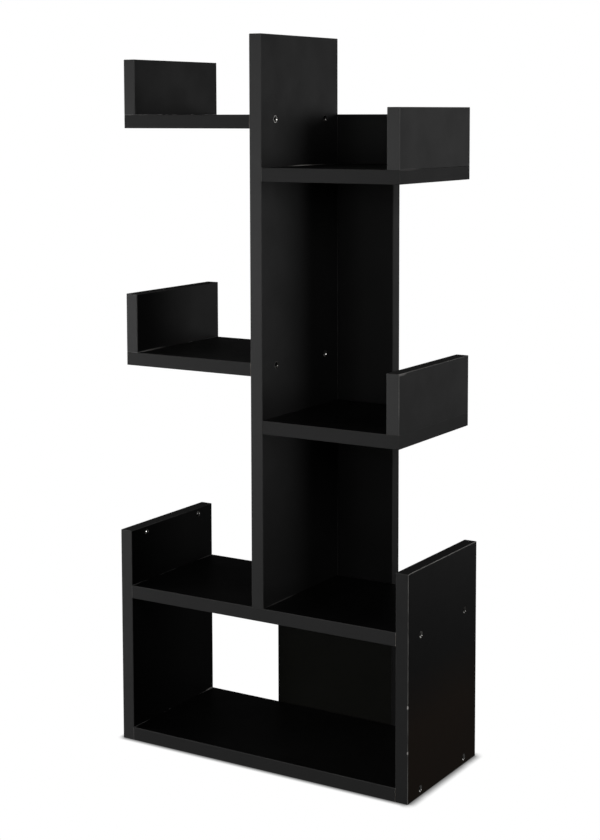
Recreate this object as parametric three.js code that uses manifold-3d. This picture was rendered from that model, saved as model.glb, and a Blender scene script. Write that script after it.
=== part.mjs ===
// Tree shaped bookshelf, in millimetres, +Z up, front towards -Y.
// A low open box of four boards carries a tall upright board, the trunk. Four short shelves branch from the
// trunk to the left and to the right, each with a low end panel, and a wide back board stiffens the trunk.
// The origin is on the floor, in the middle of the footprint.

import * as THREE from "three";
import { mergeVertices } from "three/addons/utils/BufferGeometryUtils.js";
import Module from "manifold-3d";

const wasm = await Module();
wasm.setup();

// Boards
const OVERALL_WIDTH = 450;
const OVERALL_DEPTH = 213;
const BOARD_THICKNESS = 18;
const SEAM = 0.2; // hairline between two butted boards
const ARRIS_RADIUS = 0.9; // easing of the edges round each face
const ARRIS_STEPS = 2;

// Clear heights, stacked from the floor up
const BOTTOM_BAY_HEIGHT = 184;
const LOWER_LEFT_BAY_HEIGHT = 308;
const MID_LEFT_BAY_HEIGHT = 304.5;
const LOWER_RIGHT_BAY_HEIGHT = 233;
const MID_RIGHT_BAY_HEIGHT = 311.5;
const TRUNK_RISE = 103.5; // above the highest shelf
const SIDE_RISE = 77; // above the lower shelf

// End panels, each above its own shelf
const TOP_LEFT_PANEL_HEIGHT = 74;
const MID_LEFT_PANEL_HEIGHT = 80;
const TOP_RIGHT_PANEL_HEIGHT = 77;
const MID_RIGHT_PANEL_HEIGHT = 77;

// Across the width
const BRANCH_SET_IN = 14; // from the overall width to the outer face of an end panel
const BACK_BOARD_WIDTH = 188.5;
const BACK_BOARD_OFFSET = 2.25; // from the trunk's middle, to the right

// Countersunk joining screws with a hexagon socket
const SCREW_LENGTH = 50;
const SCREW_HEAD_DIAMETER = 9.8;
const SCREW_SHANK_DIAMETER = 7;
const SCREW_HEAD_RIM = 0.7;
const SCREW_HEAD_DEPTH = 3;
const SCREW_TIP_LENGTH = 4;
const SCREW_TIP_SHARE = 0.45; // tip radius, of the shank's
const SOCKET_ACROSS_FLATS = 4;
const SOCKET_DEPTH = 2.4;
const SET_BACK = 0.3; // of a screw or plug below the board's face
const SCREW_INSET = 35; // from a board's front and back edges
const RIGHT_BRANCH_SCREW_INSET = 22; // staggered, so that it clears the left branches' screws
const LEFT_BRANCH_SCREW_RISE = 3; // above the middle of the shelf's thickness
const BACK_SCREW_INSET = 15; // from the back board's long edges

// Fluted wooden dowels
const DOWEL_DIAMETER = 8;
const DOWEL_LENGTH = 30;
const DOWEL_FLUTES = 8;
const DOWEL_FLUTE_DEPTH = 0.35;
const DOWEL_CHAMFER = 0.8;
const DOWEL_IN_FACE_SHARE = 0.42; // of the board's thickness

// Plugs in the two spare bores of the left side
const PLUG_DIAMETER = 6;
const PLUG_LENGTH = 10;
const PLUG_DISH_DIAMETER = 3.6;
const PLUG_DISH_DEPTH = 0.8;

// Bores
const BORE_CLEARANCE = 0.3; // round a screw, dowel or plug
const BORE_END_CLEARANCE = 0.8; // past the end of a screw, dowel or plug
const CUT_OVERRUN = 1; // of a cutter past the face that it enters
const CUT_START = -SET_BACK - CUT_OVERRUN;
const ROUND_SIDES = 12;
const HEX_SIDES = 6;
const HALF = 1 / 2;
const QUARTER_TURN = Math.PI / 2;
const HALF_TURN = Math.PI;

// Places worked out from the sizes above. X runs from the left side's outer face, Y from the front edges and
// Z from the floor.
const SHELF_DEPTH = OVERALL_DEPTH - BOARD_THICKNESS - SEAM;
const MID_DEPTH = SHELF_DEPTH / 2;
const HALF_THICKNESS = BOARD_THICKNESS / 2;
const TRUNK_LEFT = (OVERALL_WIDTH - BOARD_THICKNESS) / 2;
const TRUNK_RIGHT = TRUNK_LEFT + BOARD_THICKNESS;
const TRUNK_MIDDLE = TRUNK_LEFT + HALF_THICKNESS;
const INNER_LEFT = BOARD_THICKNESS + SEAM;
const INNER_RIGHT = OVERALL_WIDTH - INNER_LEFT;
const BACK_BOARD_LEFT = TRUNK_MIDDLE + BACK_BOARD_OFFSET - BACK_BOARD_WIDTH / 2;
const BACK_BOARD_RIGHT = BACK_BOARD_LEFT + BACK_BOARD_WIDTH;
const LOWER_SHELF_UNDERSIDE = BOARD_THICKNESS + BOTTOM_BAY_HEIGHT;
const LOWER_SHELF_TOP = LOWER_SHELF_UNDERSIDE + BOARD_THICKNESS;
const SIDE_TOP = LOWER_SHELF_TOP + SIDE_RISE;
const MID_LEFT_UNDERSIDE = LOWER_SHELF_TOP + LOWER_LEFT_BAY_HEIGHT;
const TOP_LEFT_UNDERSIDE = MID_LEFT_UNDERSIDE + BOARD_THICKNESS + MID_LEFT_BAY_HEIGHT;
const MID_RIGHT_UNDERSIDE = LOWER_SHELF_TOP + LOWER_RIGHT_BAY_HEIGHT;
const TOP_RIGHT_UNDERSIDE = MID_RIGHT_UNDERSIDE + BOARD_THICKNESS + MID_RIGHT_BAY_HEIGHT;
const HIGHEST_SHELF_TOP = Math.max(TOP_LEFT_UNDERSIDE, TOP_RIGHT_UNDERSIDE) + BOARD_THICKNESS;
const TRUNK_TOP = HIGHEST_SHELF_TOP + TRUNK_RISE;

const BRANCHES = [
  { name: "top_left", onLeft: true, underside: TOP_LEFT_UNDERSIDE, panelHeight: TOP_LEFT_PANEL_HEIGHT },
  { name: "mid_left", onLeft: true, underside: MID_LEFT_UNDERSIDE, panelHeight: MID_LEFT_PANEL_HEIGHT },
  { name: "top_right", onLeft: false, underside: TOP_RIGHT_UNDERSIDE, panelHeight: TOP_RIGHT_PANEL_HEIGHT },
  { name: "mid_right", onLeft: false, underside: MID_RIGHT_UNDERSIDE, panelHeight: MID_RIGHT_PANEL_HEIGHT },
];

// Directions in which a screw, dowel or plug goes in
const RIGHTWARD = new THREE.Vector3(1, 0, 0);
const LEFTWARD = new THREE.Vector3(-1, 0, 0);
const FORWARD = new THREE.Vector3(0, -1, 0);
const UPWARD = new THREE.Vector3(0, 0, 1);

const blackLaminate = new THREE.MeshStandardMaterial({ color: 0x0b0b0c, roughness: 0.5, metalness: 0 });
const nickelPlate = new THREE.MeshStandardMaterial({ color: 0xb9b8b3, roughness: 0.3, metalness: 1 });
const beech = new THREE.MeshStandardMaterial({ color: 0xc9a677, roughness: 0.7, metalness: 0 });

/** A closed geometry as a solid that can be joined and cut. */
function toSolid(geometry) {
  const bare = geometry.clone();
  bare.deleteAttribute("normal");
  bare.deleteAttribute("uv");
  const merged = mergeVertices(bare);
  return new wasm.Manifold(
    new wasm.Mesh({
      numProp: 3,
      vertProperties: new Float32Array(merged.attributes.position.array),
      triVerts: new Uint32Array(merged.index.array),
    }),
  );
}

/** A solid as a geometry, flat shaded. */
function toGeometry(solid) {
  const { vertProperties, triVerts } = solid.getMesh();
  const geometry = new THREE.BufferGeometry();
  geometry.setAttribute("position", new THREE.BufferAttribute(vertProperties, 3));
  geometry.setIndex(new THREE.BufferAttribute(triVerts, 1));
  const flat = geometry.toNonIndexed();
  flat.computeVertexNormals();
  return flat;
}

/** The matrix that carries a shape along +Z from the origin to a start point, pointing the given way. */
function placing(start, way) {
  const turn = new THREE.Quaternion().setFromUnitVectors(UPWARD, way);
  return new THREE.Matrix4().compose(start, turn, new THREE.Vector3(1, 1, 1));
}

/** A turned shape along +Z, from [radius, distance] pairs that start and end on the axis. */
function turned(profile, sides = ROUND_SIDES) {
  const points = profile.map(([radius, along]) => new THREE.Vector2(radius, along));
  return new THREE.LatheGeometry(points, sides).rotateX(QUARTER_TURN);
}

/** A straight bar along +Z with the given number of sides. */
function bar(radius, from, to, sides = ROUND_SIDES) {
  return turned([[0, from], [radius, from], [radius, to], [0, to]], sides);
}

/** A board blank about its own middle: a rectangle on its face, thickened, with both faces' edges eased. */
function boardBlank(size, thicknessAxis) {
  const onFace = { x: [size.z, size.y], y: [size.x, size.z], z: [size.x, size.y] }[thicknessAxis];
  const [halfLength, halfBreadth] = onFace.map((length) => length / 2);
  const outline = new THREE.Shape([
    new THREE.Vector2(-halfLength, -halfBreadth),
    new THREE.Vector2(halfLength, -halfBreadth),
    new THREE.Vector2(halfLength, halfBreadth),
    new THREE.Vector2(-halfLength, halfBreadth),
  ]);
  const coreThickness = size[thicknessAxis] - 2 * ARRIS_RADIUS;
  const blank = new THREE.ExtrudeGeometry(outline, {
    depth: coreThickness,
    bevelThickness: ARRIS_RADIUS,
    bevelSize: ARRIS_RADIUS,
    bevelOffset: -ARRIS_RADIUS,
    bevelSegments: ARRIS_STEPS,
  });
  blank.translate(0, 0, -coreThickness / 2);
  if (thicknessAxis === "x") blank.rotateY(QUARTER_TURN);
  if (thicknessAxis === "y") blank.rotateX(QUARTER_TURN);
  return blank;
}

const boards = new Map();
const fittings = [];

/** Notes a board by its two opposite corners. Its bores are added as its fastenings are placed. */
function addBoard(name, low, high, thicknessAxis) {
  boards.set(name, { low, size: high.clone().sub(low), thicknessAxis, bores: [] });
}

function addUpright(name, left, bottom, top) {
  const low = new THREE.Vector3(left, 0, bottom);
  const high = new THREE.Vector3(left + BOARD_THICKNESS, SHELF_DEPTH, top);
  addBoard(name, low, high, "x");
}

function addShelf(name, left, right, underside) {
  const low = new THREE.Vector3(left, 0, underside);
  const high = new THREE.Vector3(right, SHELF_DEPTH, underside + BOARD_THICKNESS);
  addBoard(name, low, high, "z");
}

/** A countersunk screw along +Z: a rimmed head with a hexagon socket, a plain shank and a tapered tip. */
function screwShape() {
  const headRadius = SCREW_HEAD_DIAMETER / 2;
  const shankRadius = SCREW_SHANK_DIAMETER / 2;
  const body = turned([
    [0, 0],
    [headRadius, 0],
    [headRadius, SCREW_HEAD_RIM],
    [shankRadius, SCREW_HEAD_DEPTH],
    [shankRadius, SCREW_LENGTH - SCREW_TIP_LENGTH],
    [shankRadius * SCREW_TIP_SHARE, SCREW_LENGTH],
    [0, SCREW_LENGTH],
  ]);
  const socketRadius = SOCKET_ACROSS_FLATS / 2 / Math.cos(HALF_TURN / HEX_SIDES);
  const socket = bar(socketRadius, -CUT_OVERRUN, SOCKET_DEPTH, HEX_SIDES);
  return toGeometry(toSolid(body).subtract(toSolid(socket)));
}

/** The stepped bore that a screw needs in both its boards: a countersunk seat, then a bore for the shank. */
function screwBore() {
  const seatRadius = SCREW_HEAD_DIAMETER / 2 + BORE_CLEARANCE;
  const shankRadius = SCREW_SHANK_DIAMETER / 2 + BORE_CLEARANCE;
  const end = SCREW_LENGTH + BORE_END_CLEARANCE;
  return turned([
    [0, CUT_START],
    [seatRadius, CUT_START],
    [seatRadius, SCREW_HEAD_RIM],
    [shankRadius, SCREW_HEAD_DEPTH],
    [shankRadius, end],
    [0, end],
  ]);
}

/** A fluted dowel along +Z, chamfered at both ends. */
function dowelShape() {
  const crest = DOWEL_DIAMETER / 2;
  const points = [];
  for (let flute = 0; flute < DOWEL_FLUTES; flute += 1) {
    for (const [radius, half] of [[crest, 0], [crest - DOWEL_FLUTE_DEPTH, 1]]) {
      const angle = (HALF_TURN * (2 * flute + half)) / DOWEL_FLUTES;
      points.push(new THREE.Vector2(radius * Math.cos(angle), radius * Math.sin(angle)));
    }
  }
  const dowel = new THREE.ExtrudeGeometry(new THREE.Shape(points), {
    depth: DOWEL_LENGTH - 2 * DOWEL_CHAMFER,
    bevelThickness: DOWEL_CHAMFER,
    bevelSize: DOWEL_CHAMFER,
    bevelOffset: -DOWEL_CHAMFER,
    bevelSegments: 1,
  });
  return toGeometry(toSolid(dowel.translate(0, 0, DOWEL_CHAMFER)));
}

/** A flush plug along +Z with a dished face. */
function plugShape() {
  const plugRadius = PLUG_DIAMETER / 2;
  const dishRadius = PLUG_DISH_DIAMETER / 2;
  return turned([
    [0, PLUG_DISH_DEPTH],
    [dishRadius, 0],
    [plugRadius, 0],
    [plugRadius, PLUG_LENGTH],
    [0, PLUG_LENGTH],
  ]);
}

const screw = screwShape();
const screwCutter = screwBore();
const dowel = dowelShape();
const dowelCutter = bar(
  DOWEL_DIAMETER / 2 + BORE_CLEARANCE,
  -BORE_END_CLEARANCE,
  DOWEL_LENGTH + BORE_END_CLEARANCE,
);
const plug = plugShape();
const plugCutter = bar(PLUG_DIAMETER / 2 + BORE_CLEARANCE, CUT_START, PLUG_LENGTH + BORE_END_CLEARANCE);

/** Places a fitting and notes its bore in each board that it goes into. */
function addFitting(name, shape, cutter, material, start, way, boardNames) {
  const matrix = placing(start, way);
  for (const boardName of boardNames) boards.get(boardName).bores.push({ cutter, matrix });
  fittings.push({ name, shape, material, start, way });
}

/** A screw from a point on the first board's face, through that board and into the second one. */
function addScrew(name, face, way, through, into) {
  const start = face.clone().addScaledVector(way, SET_BACK);
  addFitting(name, screw, screwCutter, nickelPlate, start, way, [through, into]);
}

/** A dowel across a joint: a share of the thickness into one board's face, the rest into the other's end. */
function addDowel(name, joint, way, inFace, inEnd) {
  const start = joint.clone().addScaledVector(way, -BOARD_THICKNESS * DOWEL_IN_FACE_SHARE);
  addFitting(name, dowel, dowelCutter, beech, start, way, [inFace, inEnd]);
}

/** The front and the back place of a pair of fittings, measured from the shelf's edges. */
function pairAlongDepth(inset) {
  return [["front", inset], ["back", SHELF_DEPTH - inset]];
}

function addBox() {
  addUpright("left_side", 0, 0, SIDE_TOP);
  addUpright("right_side", OVERALL_WIDTH - BOARD_THICKNESS, 0, SIDE_TOP);
  addShelf("bottom_shelf", INNER_LEFT, INNER_RIGHT, 0);
  addShelf("lower_shelf", INNER_LEFT, INNER_RIGHT, LOWER_SHELF_UNDERSIDE);
}

function addTrunk() {
  addUpright("trunk", TRUNK_LEFT, LOWER_SHELF_TOP + SEAM, TRUNK_TOP);
}

function addBackBoard() {
  const low = new THREE.Vector3(BACK_BOARD_LEFT, OVERALL_DEPTH - BOARD_THICKNESS, 0);
  const high = new THREE.Vector3(BACK_BOARD_RIGHT, OVERALL_DEPTH, HIGHEST_SHELF_TOP);
  addBoard("back_board", low, high, "y");
}

/** A branch: a short shelf that butts the trunk, with its end panel standing on the far end. */
function addBranch({ name, onLeft, underside, panelHeight }) {
  const outer = onLeft ? BRANCH_SET_IN : OVERALL_WIDTH - BRANCH_SET_IN;
  const left = onLeft ? outer : TRUNK_RIGHT + SEAM;
  const right = onLeft ? TRUNK_LEFT - SEAM : outer;
  const panelLeft = onLeft ? outer : outer - BOARD_THICKNESS;
  const panelBottom = underside + BOARD_THICKNESS + SEAM;
  const panelTop = underside + BOARD_THICKNESS + panelHeight;
  addShelf(`${name}_shelf`, left, right, underside);
  addUpright(`${name}_end_panel`, panelLeft, panelBottom, panelTop);
}

/** Two screws and a dowel in each end of both full width shelves. */
function fastenSides() {
  const shelves = { bottom: 0, lower: LOWER_SHELF_UNDERSIDE };
  for (const [level, underside] of Object.entries(shelves)) {
    const middle = underside + HALF_THICKNESS;
    for (const [side, outer, way, inner] of [
      ["left", 0, RIGHTWARD, BOARD_THICKNESS],
      ["right", OVERALL_WIDTH, LEFTWARD, OVERALL_WIDTH - BOARD_THICKNESS],
    ]) {
      for (const [place, depth] of pairAlongDepth(SCREW_INSET)) {
        const face = new THREE.Vector3(outer, depth, middle);
        addScrew(`${side}_side_screw_${level}_${place}`, face, way, `${side}_side`, `${level}_shelf`);
      }
      const joint = new THREE.Vector3(inner, MID_DEPTH, middle);
      addDowel(`${side}_side_dowel_${level}`, joint, way, `${side}_side`, `${level}_shelf`);
    }
  }
}

/** Two screws up through the lower shelf into the trunk's foot. */
function fastenTrunkFoot() {
  for (const [place, depth] of pairAlongDepth(SCREW_INSET)) {
    const face = new THREE.Vector3(TRUNK_MIDDLE, depth, LOWER_SHELF_UNDERSIDE);
    addScrew(`trunk_foot_screw_${place}`, face, UPWARD, "lower_shelf", "trunk");
  }
}

/** Two screws through the trunk into the shelf's end, a dowel between them, and two up into the end panel. */
function fastenBranch({ name, onLeft, underside }) {
  const middle = underside + HALF_THICKNESS;
  const way = onLeft ? LEFTWARD : RIGHTWARD;
  const headFace = onLeft ? TRUNK_RIGHT : TRUNK_LEFT;
  const buttFace = onLeft ? TRUNK_LEFT : TRUNK_RIGHT;
  const shelf = `${name}_shelf`;
  const panelInset = BRANCH_SET_IN + HALF_THICKNESS;
  const panelMiddle = onLeft ? panelInset : OVERALL_WIDTH - panelInset;
  const screwHeight = onLeft ? middle + LEFT_BRANCH_SCREW_RISE : middle;
  for (const [place, depth] of pairAlongDepth(onLeft ? SCREW_INSET : RIGHT_BRANCH_SCREW_INSET)) {
    const face = new THREE.Vector3(headFace, depth, screwHeight);
    addScrew(`trunk_screw_${name}_${place}`, face, way, "trunk", shelf);
  }
  addDowel(`trunk_dowel_${name}`, new THREE.Vector3(buttFace, MID_DEPTH, middle), way, "trunk", shelf);
  for (const [place, depth] of pairAlongDepth(SCREW_INSET)) {
    const face = new THREE.Vector3(panelMiddle, depth, underside);
    addScrew(`end_panel_screw_${name}_${place}`, face, UPWARD, shelf, `${name}_end_panel`);
  }
}

/** Screws from behind: one into each branch, two into each full width shelf and two into the trunk. */
function fastenBackBoard() {
  const leftColumn = BACK_BOARD_LEFT + BACK_SCREW_INSET;
  const rightColumn = BACK_BOARD_RIGHT - BACK_SCREW_INSET;
  const addBackScrew = (label, across, height, into) => {
    const face = new THREE.Vector3(across, OVERALL_DEPTH, height);
    addScrew(`back_board_screw_${label}`, face, FORWARD, "back_board", into);
  };
  for (const { name, onLeft, underside } of BRANCHES) {
    addBackScrew(name, onLeft ? leftColumn : rightColumn, underside + HALF_THICKNESS, `${name}_shelf`);
  }
  for (const [level, underside] of [["bottom", 0], ["lower", LOWER_SHELF_UNDERSIDE]]) {
    addBackScrew(`${level}_left`, leftColumn, underside + HALF_THICKNESS, `${level}_shelf`);
    addBackScrew(`${level}_right`, rightColumn, underside + HALF_THICKNESS, `${level}_shelf`);
  }
  const midShelves = [MID_LEFT_UNDERSIDE, MID_RIGHT_UNDERSIDE];
  const lowerSpan = (LOWER_SHELF_TOP + Math.min(...midShelves)) / 2;
  const lowestTopShelf = Math.min(TOP_LEFT_UNDERSIDE, TOP_RIGHT_UNDERSIDE);
  const upperSpan = (Math.max(...midShelves) + BOARD_THICKNESS + lowestTopShelf) / 2;
  addBackScrew("trunk_lower", TRUNK_MIDDLE, lowerSpan, "trunk");
  addBackScrew("trunk_upper", TRUNK_MIDDLE, upperSpan, "trunk");
}

/** The left side is drilled alike at both ends, and plugs close the two bores that stay free at the top. */
function plugSpareBores() {
  for (const [place, depth] of pairAlongDepth(SCREW_INSET)) {
    const start = new THREE.Vector3(BOARD_THICKNESS - SET_BACK, depth, SIDE_TOP - HALF_THICKNESS);
    addFitting(`spare_bore_plug_${place}`, plug, plugCutter, nickelPlate, start, LEFTWARD, ["left_side"]);
  }
}

/** A finished board: its blank with all its bores cut, placed by its middle. */
function boardMesh(name, { low, size, thicknessAxis, bores }) {
  const centre = low.clone().addScaledVector(size, HALF);
  const toBoard = new THREE.Matrix4().makeTranslation(centre.clone().negate());
  let solid = toSolid(boardBlank(size, thicknessAxis));
  for (const { cutter, matrix } of bores) {
    const cut = cutter.clone().applyMatrix4(matrix).applyMatrix4(toBoard);
    solid = solid.subtract(toSolid(cut));
  }
  const mesh = new THREE.Mesh(toGeometry(solid), blackLaminate);
  mesh.name = name;
  mesh.position.copy(centre);
  return mesh;
}

function fittingMesh({ name, shape, material, start, way }) {
  const mesh = new THREE.Mesh(shape, material);
  mesh.name = name;
  mesh.applyMatrix4(placing(start, way));
  return mesh;
}

addBox();
addTrunk();
addBackBoard();
BRANCHES.forEach(addBranch);
fastenSides();
fastenTrunkFoot();
BRANCHES.forEach(fastenBranch);
fastenBackBoard();
plugSpareBores();

const bookshelf = new THREE.Group();
bookshelf.position.set(-OVERALL_WIDTH / 2, -OVERALL_DEPTH / 2, 0);
for (const [name, board] of boards) bookshelf.add(boardMesh(name, board));
for (const fitting of fittings) bookshelf.add(fittingMesh(fitting));

export default bookshelf;
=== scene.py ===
# Tree shaped bookshelf, dressed: fourteen laminated boards with their screws, dowels and plugs.
# Metres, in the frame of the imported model: +X to the right as seen from the front, +Y to the back, +Z up.
import math

import bpy
from mathutils import Matrix, Vector


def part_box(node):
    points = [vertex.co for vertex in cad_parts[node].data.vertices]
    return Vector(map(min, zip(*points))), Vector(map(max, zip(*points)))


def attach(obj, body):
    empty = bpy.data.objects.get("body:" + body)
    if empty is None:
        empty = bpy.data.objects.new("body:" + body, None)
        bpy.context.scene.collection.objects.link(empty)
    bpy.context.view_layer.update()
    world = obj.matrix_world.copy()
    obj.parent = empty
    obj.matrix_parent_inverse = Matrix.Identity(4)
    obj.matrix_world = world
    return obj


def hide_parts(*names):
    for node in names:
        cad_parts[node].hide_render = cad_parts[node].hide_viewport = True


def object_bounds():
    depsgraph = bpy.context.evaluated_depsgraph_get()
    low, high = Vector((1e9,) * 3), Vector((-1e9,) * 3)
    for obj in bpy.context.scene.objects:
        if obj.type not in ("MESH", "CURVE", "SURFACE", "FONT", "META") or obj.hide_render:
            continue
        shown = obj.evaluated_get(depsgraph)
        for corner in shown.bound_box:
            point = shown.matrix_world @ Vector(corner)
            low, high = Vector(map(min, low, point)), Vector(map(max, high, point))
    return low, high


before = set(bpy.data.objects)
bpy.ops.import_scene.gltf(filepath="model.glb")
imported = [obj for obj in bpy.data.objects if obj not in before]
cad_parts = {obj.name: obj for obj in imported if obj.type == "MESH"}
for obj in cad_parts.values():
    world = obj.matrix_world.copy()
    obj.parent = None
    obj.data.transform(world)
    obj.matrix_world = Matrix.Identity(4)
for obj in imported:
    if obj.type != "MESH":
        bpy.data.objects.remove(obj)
cad_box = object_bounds()

# The viewpoint
# A studio camera two metres off, to the right of the front and level with the top boards. Its lens is
# shifted against its film, as on a view camera, which keeps the uprights nearly parallel in the picture.
PICTURE_HEIGHT = 840  # pixels
AXIS_ROW = 270  # the row of pixels that the lens's axis meets
CAMERA_PLACE = Vector((1.1959, -1.9366, 0.8697))
CAMERA_SWING = 0.55261  # radians, to the left of straight back
CAMERA_DIP = 0.0921
CAMERA_ROLL = -0.00244
FILM_HEIGHT = 36  # mm
FOCAL_LENGTH = 72.6  # mm
HALF = 1 / 2

camera_lens = bpy.data.cameras.new("camera")
camera_lens.sensor_width = FILM_HEIGHT
camera_lens.lens = FOCAL_LENGTH
camera_lens.shift_y = AXIS_ROW / PICTURE_HEIGHT - HALF
camera = bpy.data.objects.new("camera", camera_lens)
camera.matrix_world = (
    Matrix.Translation(CAMERA_PLACE)
    @ Matrix.Rotation(CAMERA_SWING, 4, "Z")
    @ Matrix.Rotation(math.pi / 2 - CAMERA_DIP, 4, "X")
    @ Matrix.Rotation(CAMERA_ROLL, 4, "Z")
)
bpy.context.scene.collection.objects.link(camera)
bpy.context.scene.camera = camera

# The box: two sides and two full width shelves
# Particle board 18 mm thick under black melamine film, with a black plastic band glued round each free edge
# and its arrises eased. Ends that butt another board are sawn square after banding. Bores are drilled last.
BOARD_EDGES = {
    "Arris Radius": 0.0008,
    "Arris Steps": 3,
    "Band Margin": 0.0002,  # flat of the band that shows beside the film
    "Joint Width": 0.00016,
    "Joint Depth": 0.00008,
    "Wear And Highlight": 0.04,  # share of the strongest wear and painted highlight, which every arris has
}
SAWN_OFF = 0.004  # waste at a butting end, longer than an arris
DRAWN_TIGHT = 0.00018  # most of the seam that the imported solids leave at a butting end
OVERRUN = 0.001  # of a cutter past the face that it enters
HIGHLIGHT_LEAN = 0.1  # least lean towards the highlighted side of a face that gets the painted highlight
SIDE_HIGHLIGHT = 0.5  # share of the painted highlight on the highlighted side's upright arrises, beside its top arrises
SMOOTH_ANGLE = math.radians(32)
EIGHTH_TURN = math.pi / 4
FLAT_SHARE = 0.49  # a face centre further out than this share of a blank lies on its outer skin
FLAT_CENTRE_SHARE = 0.501
BORE_SIZES = {
    "Seat Radius": 0.005,
    "Seat Rim": 0.0009,
    "Seat Depth": 0.0031,
    "Shank Bore Radius": 0.0036,
    "Screw Bore Depth": 0.0508,
    "Dowel Bore Radius": 0.0042,
    "Dowel Bore Depth": 0.0308,
    "Plug Bore Radius": 0.0031,
    "Plug Bore Depth": 0.0108,
}
BORE_SIDES = 36
MOST_STATIONS = 8
SCREW, DOWEL, PLUG = range(3)
GEOMETRY = "geometry"


def place(tree, kind, inputs=None, **options):
    """Adds a node to a tree, sets its options and feeds its inputs with values or other nodes' sockets."""
    made = tree.nodes.new(kind)
    for option, choice in options.items():
        setattr(made, option, choice)
    for key, value in (inputs or {}).items():
        shown = [socket for socket in made.inputs if socket.enabled and socket.name == key]
        socket = shown[0] if shown else made.inputs[key]
        for source in value if isinstance(value, list) else [value]:
            if isinstance(source, bpy.types.NodeSocket):
                tree.links.new(source, socket)
            else:
                socket.default_value = source
    return made


def output_of(tree, kind, inputs=None, **options):
    """The output that a node shows, once it is placed and fed."""
    return next(socket for socket in place(tree, kind, inputs, **options).outputs if socket.enabled)


def maths(tree, operation, *operands):
    return output_of(tree, "ShaderNodeMath", dict(enumerate(operands)), operation=operation)


def vectors(tree, operation, *operands):
    return output_of(tree, "ShaderNodeVectorMath", dict(enumerate(operands)), operation=operation)


def scaled(tree, vector, factor):
    return output_of(tree, "ShaderNodeVectorMath", {0: vector, "Scale": factor}, operation="SCALE")


def times(tree, first, *others):
    """The product of several values."""
    for other in others:
        first = maths(tree, "MULTIPLY", first, other)
    return first


def parts(tree, vector):
    """A vector's X, Y and Z."""
    return place(tree, "ShaderNodeSeparateXYZ", {0: vector}).outputs


def spread(tree, value, low, high, to_low=0, to_high=1):
    """A value's range from low to high, drawn out to another range and held there."""
    ranges = {"Value": value, "From Min": low, "From Max": high, "To Min": to_low, "To Max": to_high}
    return output_of(tree, "ShaderNodeMapRange", ranges)


def spot_of(tree):
    """The place of a point on its piece, in a tree that shapes a mesh or in a material."""
    if tree.bl_idname == "GeometryNodeTree":
        return output_of(tree, "GeometryNodeInputPosition")
    return place(tree, "ShaderNodeTexCoord").outputs["Object"]


def shifted(tree, mesh, **inputs):
    """A mesh with its points set on a position or moved by an offset."""
    return output_of(tree, "GeometryNodeSetPosition", {"Geometry": mesh} | inputs)


def coated(tree, mesh, material, **inputs):
    """A mesh with a material on it."""
    inputs |= {"Geometry": mesh, "Material": material}
    return output_of(tree, "GeometryNodeSetMaterial", inputs)


def add_socket(tree, label, value, side="INPUT"):
    """A named socket of a node group, of the kind that its value asks for."""
    kinds = {float: "Float", int: "Int", Vector: "Vector", tuple: "Color", str: "Geometry"}
    kind = kinds.get(type(value), "Material")
    socket = tree.interface.new_socket(label, in_out=side, socket_type=f"NodeSocket{kind}")
    if kind not in ("Geometry", "Material"):
        socket.default_value = value


def new_tree(name, inputs, outputs, kind="GeometryNodeTree"):
    """A node group with named inputs and outputs. Returns it, what it is given and what it gives."""
    tree = bpy.data.node_groups.new(name, kind)
    for label, value in inputs.items():
        add_socket(tree, label, value)
    for label, value in outputs.items():
        add_socket(tree, label, value, "OUTPUT")
    return tree, tree.nodes.new("NodeGroupInput").outputs, tree.nodes.new("NodeGroupOutput").inputs


def use(tree, group, inputs):
    """Another node group, used as a node."""
    kind = "GeometryNodeGroup" if tree.bl_idname == "GeometryNodeTree" else "ShaderNodeGroup"
    return place(tree, kind, inputs, node_tree=group).outputs


def by_index(tree, index, values):
    """One of several values, picked by a whole number."""
    made = place(tree, "GeometryNodeIndexSwitch", data_type="FLOAT")
    while len(made.index_switch_items) < len(values):
        made.index_switch_items.new()
    tree.links.new(index, made.inputs["Index"])
    for number, value in enumerate(values):
        tree.links.new(value, made.inputs[number + 1])
    return made.outputs[0]


def smoothed(tree, mesh):
    """Round surfaces shaded smooth, with every edge past the smooth angle kept sharp."""
    smooth = output_of(tree, "GeometryNodeSetShadeSmooth", {0: mesh, "Shade Smooth": True}, domain="FACE")
    angle = place(tree, "GeometryNodeInputMeshEdgeAngle").outputs["Unsigned Angle"]
    both = {"A": angle, "B": SMOOTH_ANGLE}
    sharp = output_of(tree, "FunctionNodeCompare", both, operation="GREATER_THAN")
    edges = {0: smooth, "Selection": sharp, "Shade Smooth": False}
    return output_of(tree, "GeometryNodeSetShadeSmooth", edges, domain="EDGE")


def noted(tree, name, kind):
    """A value of some kind that a mesh keeps under a name."""
    return output_of(tree, "GeometryNodeInputNamedAttribute", {"Name": name}, data_type=kind)


def stored(tree, mesh, name, value, domain="POINT", kind="FLOAT"):
    """A mesh that keeps a value under a name."""
    inputs = {"Geometry": mesh, "Name": name, "Value": value}
    return output_of(tree, "GeometryNodeStoreNamedAttribute", inputs, data_type=kind, domain=domain)


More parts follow.
